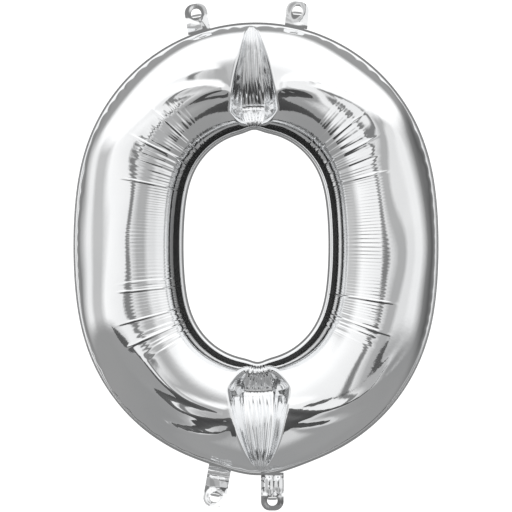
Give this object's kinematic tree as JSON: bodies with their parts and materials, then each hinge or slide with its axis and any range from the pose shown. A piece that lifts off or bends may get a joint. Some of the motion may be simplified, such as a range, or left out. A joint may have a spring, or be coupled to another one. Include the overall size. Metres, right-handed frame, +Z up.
{
  "type": "foil number balloon",
  "caption": "Silver foil balloon in the shape of a rounded ring, a digit 0 or a letter O, with hanging tabs, a filling tail and a flat valve.",
  "frame": {"origin": "centre of the whole object's box, in the plane of the seams", "axes": "+Z up along the ring's long side, towards the two top tabs; +Y through the ring, from front to back; +X to the right as seen from the front"},
  "size_m": [0.331, 0.092, 0.4615],
  "materials": {
    "silver_foil": "polished",
    "clear_film": "gloss"
  },
  "bodies": {
    "envelope": {"front_panel": "silver_foil", "back_panel": "silver_foil"},
    "top_left_tab": {"hang_tab_top_left": "silver_foil"},
    "top_left_flap": {"hole_flap_top_left": "silver_foil"},
    "top_right_tab": {"hang_tab_top_right": "silver_foil"},
    "top_right_flap": {"hole_flap_top_right": "silver_foil"},
    "bottom_left_tab": {"hang_tab_bottom_left": "silver_foil"},
    "bottom_left_flap": {"hole_flap_bottom_left": "silver_foil"},
    "filling_tail": {"fill_tail_front_ply": "silver_foil", "fill_tail_back_ply": "silver_foil"},
    "tail_flap": {"hole_flap_fill_tail": "silver_foil"},
    "valve_front": {"valve_front_film": "clear_film"},
    "valve_back": {"valve_back_film": "clear_film"}
  },
  "joints": [
    {"name": "top_left_tab_bend", "type": "hinge", "parent": "envelope", "child": "top_left_tab", "pos_m": [-0.05151, 0, 0.20385], "axis": [0.9444, 0, 0.3287], "range_deg": [-75, 75], "stiffness_Nm_per_rad": 0.002},
    {"name": "top_left_flap_bend", "type": "hinge", "parent": "top_left_tab", "child": "top_left_flap", "pos_m": [-0.05377, 0, 0.21665], "axis": [-0.9848, 0, -0.1736], "range_deg": [-120, 60], "stiffness_Nm_per_rad": 0.00001},
    {"name": "top_right_tab_bend", "type": "hinge", "parent": "envelope", "child": "top_right_tab", "pos_m": [0.03639, 0, 0.20842], "axis": [0.9677, 0, -0.2521], "range_deg": [-75, 75], "stiffness_Nm_per_rad": 0.002},
    {"name": "top_right_flap_bend", "type": "hinge", "parent": "top_right_tab", "child": "top_right_flap", "pos_m": [0.03733, 0, 0.21918], "axis": [-0.9962, 0, 0.0872], "range_deg": [-120, 60], "stiffness_Nm_per_rad": 0.00001},
    {"name": "bottom_left_tab_bend", "type": "hinge", "parent": "envelope", "child": "bottom_left_tab", "pos_m": [-0.03276, 0, -0.19199], "axis": [-0.9549, 0, 0.297], "range_deg": [-75, 75], "stiffness_Nm_per_rad": 0.002},
    {"name": "bottom_left_flap_bend", "type": "hinge", "parent": "bottom_left_tab", "child": "bottom_left_flap", "pos_m": [-0.03692, 0, -0.21563], "axis": [0.9848, 0, -0.1736], "range_deg": [-120, 60], "stiffness_Nm_per_rad": 0.00001},
    {"name": "filling_tail_bend", "type": "hinge", "parent": "envelope", "child": "filling_tail", "pos_m": [0.0148, 0, -0.19829], "axis": [-0.9874, 0, -0.158], "range_deg": [-75, 75], "stiffness_Nm_per_rad": 0.002},
    {"name": "tail_flap_bend", "type": "hinge", "parent": "filling_tail", "child": "tail_flap", "pos_m": [0.0148, 0, -0.21889], "axis": [1, 0, 0], "range_deg": [-120, 60], "stiffness_Nm_per_rad": 0.00001},
    {"name": "valve_front_open", "type": "hinge", "parent": "envelope", "child": "valve_front", "pos_m": [0.01413, -0.0003, -0.19082], "axis": [1, 0, 0], "range_deg": [0, 6], "stiffness_Nm_per_rad": 0.0001},
    {"name": "valve_back_open", "type": "hinge", "parent": "envelope", "child": "valve_back", "pos_m": [0.01413, 0.0003, -0.19082], "axis": [1, 0, 0], "range_deg": [-6, 0], "stiffness_Nm_per_rad": 0.0001}
  ],
  "couplings": [
    {"joint": "valve_back_open", "follows": "valve_front_open", "ratio": -1}
  ]
}
